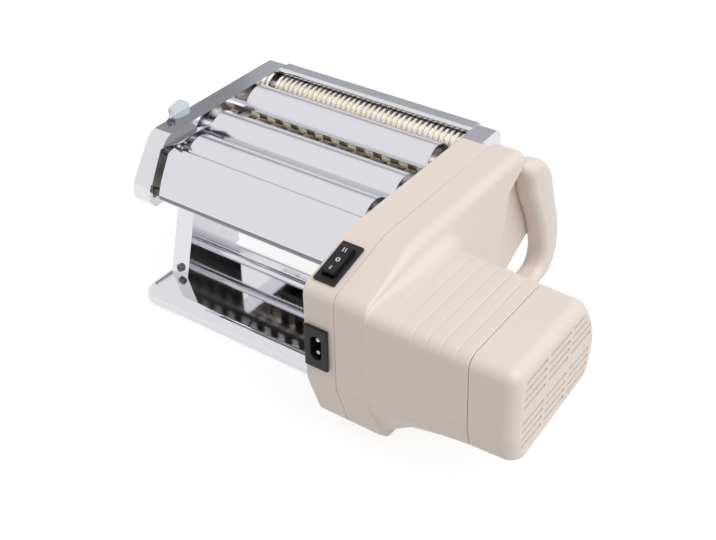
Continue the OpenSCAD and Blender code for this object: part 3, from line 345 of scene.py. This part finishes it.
def mesh_from(name, shape):
    """A mesh of a bmesh, with its faces turned outwards."""
    bmesh.ops.recalc_face_normals(shape, faces=shape.faces)
    mesh = bpy.data.meshes.new(name)
    shape.to_mesh(mesh)
    shape.free()
    return mesh


def loft(points, size, cap_first, cap_last):
    """A bmesh through closed loops of size points each."""
    loops = len(points) // size
    faces = []
    for i in range(loops - 1):
        for k in range(size):
            a, b = i * size + k, i * size + (k + 1) % size
            faces.append((a, b, b + size, a + size))
    if cap_first:
        faces.append(tuple(range(size)))
    if cap_last:
        faces.append(tuple(range(len(points) - size, len(points))))
    shape = bmesh.new()
    corners = [shape.verts.new(point) for point in points]
    for face in faces:
        shape.faces.new([corners[i] for i in face])
    return shape


def ring_mesh(name, rings, capped=False):
    """Surface through rings, each with an X and a radius for every ray."""
    points = []
    for x, reach in rings:
        xs = np.broadcast_to(x, TURNS)
        for k in range(TURNS):
            points.append(at(xs[k], CENTRE.x + reach[k] * rays[k][0],
                             CENTRE.y + reach[k] * rays[k][1]))
    shape = loft(points, TURNS, capped, capped)
    bmesh.ops.remove_doubles(shape, verts=shape.verts, dist=JOIN_DISTANCE * MM)
    mesh = mesh_from(name, shape)
    mesh.set_sharp_from_angle(angle=math.radians(SHARP_ANGLE))
    return mesh


# ---- Housing cover with its barrel ----

EDGE_R = 6
ROOT_R = 8
LIP = 0.5
SEAM_GAP = 0.3
# Flat strips beside the seam, before the rounded edge, behind the root and before the cap
SEAM_FLAT, EDGE_FLAT, ROOT_FLAT, CAP_FLAT = 5, 1, 1, 3
# Where the barrel's side almost meets the slab's, the edge and the root shrink to these
# shares of their height and of their width
LEAST_HEIGHT, LEAST_WIDTH = 0.004, 0.35
EDGE_TURNS = np.radians(np.arange(0, 91, 15))
ROUND_TURNS = np.radians(np.arange(0, 91, 11.25))
# Grooves over the top of the barrel: X and depth of each, X and share of the depth in
# the cross-section, and the angles in degrees between which they fade in and out
GROOVES = [(170.6, 0.5), (162.2, 0.5), (153.8, 0.48), (145.4, 0.42), (137, 0.32), (129, 0.2)]
GROOVE_SHAPE = [(-0.95, 0), (-0.5, 0.7), (0, 1), (0.5, 0.7), (0.95, 0)]
GROOVE_BEGIN, GROOVE_END = (15, 55), (136, 146)

slab_r = radii(SLAB)
root_r = radii(ROOT)
end_r = radii(END)


def barrel_r(x):
    """The barrel's radii, from the root's outline to the end's."""
    share = np.clip((x - (FACE_X - EDGE_R)) / (CAP_X - FACE_X + EDGE_R), 0, 1)
    return root_r + (end_r - root_r) * share


def outer_shell():
    """Flat housing with a rounded edge, and the barrel that grows out of its face."""
    fall = slab_r - radii(inset(SLAB, EDGE_R))
    rise = radii(inset(ROOT, -ROOT_R)) - root_r
    share = np.clip((slab_r - root_r) / (fall + rise), LEAST_HEIGHT, 1)
    wide = np.maximum(share, LEAST_WIDTH)
    rings = [(SEAM_X, slab_r - WALL), (SEAM_X, slab_r - LIP), (SEAM_X + LIP, slab_r),
             (SEAM_X + SEAM_FLAT, slab_r), (FACE_X - EDGE_R - EDGE_FLAT, slab_r)]
    for a in EDGE_TURNS:
        rings.append((FACE_X - EDGE_R * wide * (1 - math.sin(a)),
                      slab_r - fall * share * (1 - math.cos(a))))
    for b in ROUND_TURNS:
        x = FACE_X + ROOT_R * wide * (1 - math.cos(b))
        rings.append((x, barrel_r(x) + rise * share * (1 - math.sin(b))))
    root_end = FACE_X + ROOT_R + ROOT_FLAT
    rings.append((root_end, barrel_r(root_end)))
    turn = np.degrees(angles)
    over_top = smooth(turn, *GROOVE_BEGIN) * (1 - smooth(turn, *GROOVE_END))
    for middle, depth in reversed(GROOVES):
        for offset, share_deep in GROOVE_SHAPE:
            x = middle + offset
            rings.append((x, barrel_r(x) - depth * share_deep * over_top))
    edge = CAP_X - SEAM_GAP
    rings += [(edge - CAP_FLAT, barrel_r(edge - CAP_FLAT)), (edge - LIP, barrel_r(edge - LIP)),
              (edge, barrel_r(edge) - LIP), (edge, barrel_r(edge) - WALL)]
    mesh = ring_mesh("motor_housing_cover", rings)
    piece = piece_from("motor_housing_cover", mesh, "cream")
    even_normals(piece)
    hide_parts("motor_outer_shell")


# ---- End cover with its slots ----

CAP_ROUND = 7.4
CAP_DRAFT = 0.6
# Depth and inset of the cover's inner side
CAP_INSIDE, CAP_INSIDE_INSET = 7, 9
# Place and inset of the section near the seam
CAP_MIDDLE, CAP_MIDDLE_INSET = 6, 0.2
CAP_EDGE, CAP_EDGE_SEGMENTS, CAP_EDGE_ANGLE = 0.35, 2, 40
VENT_ROWS, VENT_COLUMNS = 4, 3
VENT_PITCH, VENT_H, VENT_GAP, VENT_DEPTH = 5.5, 2.2, 3.4, 3
VENT_FRONT, VENT_BACK = -106, -31
VENT_TOPS = [HEAD_TOP - 25.3, HEAD_TOP - 53]
CUT_OVER = 4
BOX_SIDES = ((0, 1, 3, 2), (4, 6, 7, 5), (0, 4, 5, 1), (2, 3, 7, 6), (0, 2, 6, 4), (1, 5, 7, 3))


def box_into(shape, low, high):
    """Adds a box between two corners of the machine to a bmesh."""
    ends = (low, high)
    corners = [shape.verts.new(at(ends[i][0], ends[j][1], ends[k][2]))
               for i in (0, 1) for j in (0, 1) for k in (0, 1)]
    for side in BOX_SIDES:
        shape.faces.new([corners[i] for i in side])


def vent_cutter():
    """A box for each slot of the end cover."""
    length = (VENT_BACK - VENT_FRONT - (VENT_COLUMNS - 1) * VENT_GAP) / VENT_COLUMNS
    shape = bmesh.new()
    for top in VENT_TOPS:
        for row in range(VENT_ROWS):
            for column in range(VENT_COLUMNS):
                y = VENT_FRONT + column * (length + VENT_GAP)
                z = top - row * VENT_PITCH - VENT_H / 2
                box_into(shape, (END_X - VENT_DEPTH, y, z),
                         (END_X + CUT_OVER, y + length, z + VENT_H))
    cutter = bpy.data.objects.new("vent_cutter", mesh_from("vent_cutter", shape))
    bpy.context.collection.objects.link(cutter)
    return cutter


def apply_modifiers(piece):
    """Bakes a piece's modifiers into its mesh."""
    shown = piece.evaluated_get(bpy.context.evaluated_depsgraph_get())
    baked = bpy.data.meshes.new_from_object(shown)
    piece.modifiers.clear()
    piece.data = baked


def end_cap():
    """End cap of the barrel with two groups of slots in its face."""
    rings = [(END_X - CAP_INSIDE, radii(inset(END, CAP_INSIDE_INSET))),
             (CAP_X, end_r - WALL), (CAP_X, end_r - LIP), (CAP_X + LIP, end_r),
             (CAP_X + CAP_MIDDLE, radii(inset(END, CAP_MIDDLE_INSET)))]
    for a in ROUND_TURNS:
        d = CAP_DRAFT + CAP_ROUND * (1 - math.cos(a))
        rings.append((END_X - CAP_ROUND * (1 - math.sin(a)), radii(inset(END, d))))
    mesh = ring_mesh("motor_end_cover", rings, capped=True)
    piece = piece_from("motor_end_cover", mesh, "cream")
    cutter = vent_cutter()
    cut = piece.modifiers.new("vents", "BOOLEAN")
    cut.operation = "DIFFERENCE"
    cut.solver = "EXACT"
    cut.object = cutter
    apply_modifiers(piece)
    bpy.data.objects.remove(cutter)
    piece.data.shade_smooth()
    round_edges(piece, CAP_EDGE, CAP_EDGE_SEGMENTS, CAP_EDGE_ANGLE)
    even_normals(piece)
    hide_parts("motor_end_cap")


# ---- Handle ----

# Inner and outer point of each section of the grip, Z from the head's top
GRIP = [
    ((56, -16), (58, -10.5)), ((59, -20.5), (66, -12)), ((62, -25.5), (76, -15.5)),
    ((64, -30), (84.5, -21)), ((65.5, -34.5), (90.5, -28)), ((67.5, -40), (94, -34.5)),
    ((70.5, -46), (96, -40)), ((76, -55.5), (98.6, -46.8)), ((81.5, -66), (103, -58.4)),
    ((86, -77), (107.6, -69)), ((89.8, -88), (111, -82)), ((91.6, -97), (112.2, -95)),
    ((90, -104), (109.5, -108.5)), ((85, -108), (100, -116.5)), ((75, -108.5), (85, -118)),
    ((55, -108.5), (56, -117.5)), ((24, -108.5), (24, -117.5)),
]
GRIP_LEFT, GRIP_RIGHT = 105.1, 121.1
GRIP_ROUND = 6
GRIP_STEPS = 6
SECTION_ARC = 6
# Greatest share of a section's half side that its corner takes
FULLEST_ROUND = 0.98
# The first sections close into a dome: share of a step at which it begins, and its length
# in sections
DOME_START, DOME_SECTIONS = 0.4, 1.5


def curve_through(points):
    """Catmull-Rom curve through points."""
    curve = []
    last = len(points) - 1
    for i in range(last):
        p0, p1 = points[max(i - 1, 0)], points[i]
        p2, p3 = points[i + 1], points[min(i + 2, last)]
        for k in range(GRIP_STEPS):
            t = k / GRIP_STEPS
            curve.append(((2 * p1) + (p2 - p0) * t + (2 * p0 - 5 * p1 + 4 * p2 - p3) * t ** 2
                          + (3 * p1 - p0 - 3 * p2 + p3) * t ** 3) / 2)
    curve.append(points[last])
    return curve


def round_section(width, depth):
    """Points of a rectangle with rounded corners round its middle."""
    radius = min(GRIP_ROUND, width / 2 * FULLEST_ROUND, depth / 2 * FULLEST_ROUND)
    points = []
    for corner, (sx, sy) in enumerate([(1, 1), (-1, 1), (-1, -1), (1, -1)]):
        for k in range(SECTION_ARC + 1):
            a = math.pi / 2 * (corner + k / SECTION_ARC)
            points.append((sx * (width / 2 - radius) + radius * math.cos(a),
                           sy * (depth / 2 - radius) + radius * math.sin(a)))
    return points


def handle_grip():
    """Grip through its sections, which follow the inner and the outer curve."""
    inner = curve_through([Vector(p) for p, q in GRIP])
    outer = curve_through([Vector(q) for p, q in GRIP])
    x_mid = (GRIP_LEFT + GRIP_RIGHT) / 2
    points = []
    for i, (p, q) in enumerate(zip(inner, outer)):
        dome = math.sqrt(min(1, (i + DOME_START) / (GRIP_STEPS * DOME_SECTIONS)))
        depth = (GRIP_RIGHT - GRIP_LEFT) * dome
        along = (q - p).normalized()
        middle = (p + q) / 2
        for a, b in round_section((q - p).length, depth):
            place = middle + along * a
            points.append(at(x_mid + b, place.x, HEAD_TOP + place.y))
    shape = loft(points, len(points) // len(inner), True, True)
    piece = piece_from("handle_grip", mesh_from("handle_grip", shape), "cream")
    piece.modifiers.new("subdivision", "SUBSURF").render_levels = 1
    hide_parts("carry_handle")


# ---- Plates ----

PLATE_CORNER_STEPS = 6
PLATE_SEGMENTS, PLATE_ANGLE = 3, 30

# Outlines in the side view: Y, Z from the head's top and the corner's radius
# The web runs from the housing to the grip, and the hole lies below it
WEB = [(38, -8, 0), (26, -113, 0), (46, -111, 0), (44, -107.6, 2), (69, -94.5, 0),
       (89, -84, 2), (94, -84, 0), (88, -62, 0), (76, -42, 0), (70, -22, 0), (60, -16, 0)]
SHELF = [(40, 1, 0), (38, -11.5, 0), (58.5, -8.5, 2), (57, 0, 10)]
# Painted shade: a dark sheet on the left frame's wall beside the front panel, where the wall
# lies in shade
WALL_PAINTED_SHADE = [(-50, -6, 0), (-59.7, -6, 1), (-68, -21, 0), (-71, -28, 2), (-71, -36, 1),
          (-50, -36, 0)]
# Painted shade: a thin dark strip over the front panel's lower roll, in place of the dark that
# the roll reflects there
ROLL_MID, ROLL_R, LIP_T = (-68.5, -31.2), 4.5, 0.25
LIP_TURNS = [math.radians(a) for a in range(-84, 13, 6)]


def roll_arc(radius, turns):
    return [(ROLL_MID[0] - radius * math.cos(a), ROLL_MID[1] + radius * math.sin(a), 0)
            for a in turns]


PANEL_LIP_PAINTED_SHADE = roll_arc(ROLL_R, LIP_TURNS) + roll_arc(ROLL_R - LIP_T, reversed(LIP_TURNS))


def plate(name, corners, x0, x1, bevel, finish="cream"):
    """Plate between two X with a rounded outline in the side view."""
    shape = bmesh.new()
    low = [shape.verts.new(at(x0, p.x, HEAD_TOP + p.y))
           for p in rounded(corners, PLATE_CORNER_STEPS)]
    face = shape.faces.new(low)
    grown = bmesh.ops.extrude_face_region(shape, geom=[face])
    top = [v for v in grown["geom"] if isinstance(v, bmesh.types.BMVert)]
    bmesh.ops.translate(shape, verts=top, vec=Vector((x1 - x0, 0, 0)) * MM)
    piece = piece_from(name, mesh_from(name, shape), finish, "frame")
    round_edges(piece, bevel, PLATE_SEGMENTS, PLATE_ANGLE)
    even_normals(piece)


outer_shell()
end_cap()
handle_grip()
plate("handle_web", WEB, 102.6, 106.6, 0.8)
plate("handle_shelf", SHELF, 97.9, 112, 0.6)
# Painted shade: a dark sheet on the left frame's wall, where it lies in shade
plate("frame_wall_painted_shade", WALL_PAINTED_SHADE, -76.1, -75.8, 0.05, "wall_painted_shade")
# Painted shade: a thin dark strip over the front panel's lower roll
plate("panel_lip_painted_shade", PANEL_LIP_PAINTED_SHADE, -69, 75.5, 0.03, "lip_painted_shade")

# ---- Marks on the switch: I in front, 0 in the middle and II at the back ----

# Middle of the rocker on the sloping top of the housing
SWITCH_PLACE = at(87.4, -98, 119.49)
SWITCH_SLOPE = math.radians(15)
# The rocker's top is a shallow V with a rounded middle: height of the V's lowest point,
# slope of its sides and radius of the middle
ROCKER_MID, ROCKER_RISE, ROCKER_ROUND = 3.8, 0.1765, 30
MARK_T, MARK_W, MARK_H = 0.14, 0.6, 2.8
MARK_PITCH = 6.8
STROKE_X = 0.8
ZERO_HALF_W = 1.3
ZERO_STEPS = 32


def rocker_top(y):
    """Height of the rocker's top over its middle."""
    reach = ROCKER_RISE * ROCKER_ROUND
    dip = max(reach ** 2 - y ** 2, 0) / (2 * ROCKER_ROUND)
    return ROCKER_MID + ROCKER_RISE * max(abs(y), reach) - dip


def band(shape, one, other):
    """Closed strip of faces between two loops."""
    for k in range(len(one)):
        m = (k + 1) % len(one)
        shape.faces.new((one[k], one[m], other[m], other[k]))


def mark(name, loops):
    """Thin raised mark; each loop is an outline with an inner one or None, in X and Y."""
    shape = bmesh.new()
    for pair in loops:
        levels = []
        for height in (0, MARK_T):
            rows = [[shape.verts.new((x, y, rocker_top(y) + height)) for x, y in outline]
                    for outline in pair if outline]
            if len(rows) == 1:
                shape.faces.new(rows[0])
            else:
                band(shape, *rows)
            levels.append(rows)
        for low, high in zip(*levels):
            band(shape, low, high)
    mesh = mesh_from(name, shape)
    turn = Matrix.Rotation(SWITCH_SLOPE, 4, "X")
    mesh.transform(Matrix.Translation(SWITCH_PLACE) @ turn @ Matrix.Scale(MM, 4))
    piece_from(name, mesh, "mark", "rocker")


def stroke(x, y):
    """Outline of an upright stroke."""
    return [(x + sx * MARK_W / 2, y + sy * MARK_H / 2)
            for sx, sy in ((-1, -1), (1, -1), (1, 1), (-1, 1))]


def oval(grow):
    """Outline of the zero, grown by a distance."""
    return [((ZERO_HALF_W + grow) * math.cos(math.tau * k / ZERO_STEPS),
             (MARK_H / 2 + grow) * math.sin(math.tau * k / ZERO_STEPS))
            for k in range(ZERO_STEPS)]


mark("mark_one", [(stroke(0, -MARK_PITCH), None)])
mark("mark_zero", [(oval(0), oval(-MARK_W))])
mark("mark_two", [(stroke(x, MARK_PITCH), None) for x in (-STROKE_X, STROKE_X)])

# ---- Camera ----

IMAGE_WIDTH = 716
FOCAL_PX = 1168
SENSOR = 36
CAMERA_PLACE = Vector((331.8, -500.6, 482.7)) * MM
AZIMUTH, PITCH, ROLL = (math.radians(a) for a in (35.0, 35.9, 0.46))


def add_camera():
    data = bpy.data.cameras.new("camera")
    data.sensor_width = SENSOR
    data.lens = FOCAL_PX / IMAGE_WIDTH * SENSOR
    camera = bpy.data.objects.new("camera", data)
    bpy.context.collection.objects.link(camera)
    forward = Vector((-math.sin(AZIMUTH) * math.cos(PITCH), math.cos(AZIMUTH) * math.cos(PITCH),
                      -math.sin(PITCH)))
    right = forward.cross(Vector((0, 0, 1))).normalized()
    up = right.cross(forward)
    turned_right = right * math.cos(ROLL) - up * math.sin(ROLL)
    turned_up = up * math.cos(ROLL) + right * math.sin(ROLL)
    rotation = Matrix((turned_right, turned_up, -forward)).transposed()
    camera.matrix_world = Matrix.Translation(CAMERA_PLACE) @ rotation.to_4x4()
    scene.camera = camera


# ---- Studio ----

FLOOR_SIZE = 8
FLOOR_COLOR = (0.25, 0.25, 0.25)
# Strength of the floor's and the world's own light: what the camera and reflections see,
# and what falls on the object
FLOOR_SEEN, FLOOR_LIT = 0.84, 0.28
WORLD_SEEN, WORLD_LIT = 1.0, 0.6
SUN_STRENGTH, SUN_ANGLE = 1.65, 55
SUN_WAY = Vector((-0.62, 0.05, -0.78))
CARD_COLOR = (1, 1, 1.06, 1)
CARD_AIM = Vector((0, 0, 0.1))
BLACK, WHITE = (0, 0, 0), (1, 1, 1, 1)


def seen_straight(tree):
    """1 for camera, glossy and transmission rays, and 0 for the others."""
    path = tree.nodes.new("ShaderNodeLightPath")
    first, total = (tree.nodes.new("ShaderNodeMath") for _ in range(2))
    first.operation = total.operation = "ADD"
    total.use_clamp = True
    tree.links.new(path.outputs["Is Camera Ray"], first.inputs[0])
    tree.links.new(path.outputs["Is Glossy Ray"], first.inputs[1])
    tree.links.new(first.outputs[0], total.inputs[0])
    tree.links.new(path.outputs["Is Transmission Ray"], total.inputs[1])
    return total.outputs[0]


def glowing(name, color, glow):
    """A matt material that gives light; returns its node tree and shader too."""
    material, tree, shader = new_material(name, color, 1.0)
    shader.inputs["Specular IOR Level"].default_value = 0
    shader.inputs["Emission Color"].default_value = glow
    return material, tree, shader


def add_floor():
    """Pale floor that keeps the object's shadow."""
    bpy.ops.mesh.primitive_plane_add(size=FLOOR_SIZE)
    floor = bpy.context.object
    floor.name = "floor"
    material, tree, shader = glowing("floor_white", FLOOR_COLOR, WHITE)
    strength = spread(tree, seen_straight(tree), FLOOR_LIT, FLOOR_SEEN)
    tree.links.new(strength, shader.inputs["Emission Strength"])
    floor.data.materials.append(material)


def add_world():
    """White surroundings that light the object at a plain level."""
    world = bpy.data.worlds.new("studio")
    world.use_nodes = True
    scene.world = world
    tree = world.node_tree
    background = tree.nodes["Background"]
    background.inputs["Color"].default_value = WHITE
    tree.links.new(spread(tree, seen_straight(tree), WORLD_LIT, WORLD_SEEN),
                   background.inputs["Strength"])


def add_sun():
    """Large soft light from the right."""
    data = bpy.data.lights.new("sun", "SUN")
    data.energy = SUN_STRENGTH
    data.angle = math.radians(SUN_ANGLE)
    sun = bpy.data.objects.new("sun", data)
    bpy.context.collection.objects.link(sun)
    sun.rotation_euler = SUN_WAY.to_track_quat("-Z", "Y").to_euler()


def add_card(name, place, size, level):
    """Grey card that only reflections see."""
    bpy.ops.mesh.primitive_plane_add(size=1)
    card = bpy.context.object
    card.name = name
    card.scale = (*size, 1)
    card.location = place
    card.rotation_euler = (CARD_AIM - Vector(place)).to_track_quat("Z", "Y").to_euler()
    material, _, shader = glowing(name, BLACK, CARD_COLOR)
    shader.inputs["Emission Strength"].default_value = level
    card.data.materials.append(material)
    card.visible_camera = False
    card.visible_diffuse = False
    card.visible_shadow = False


add_camera()
add_floor()
add_world()
add_sun()
# Low grey cards behind, which only the tops of the head reflect
add_card("card_behind_left", (-1.65, 1.15, 0.96), (0.9, 0.68), 0.3)
add_card("card_behind_right", (-0.95, 1.75, 0.96), (1.1, 0.68), 0.5)
scene.view_settings.view_transform = "Standard"
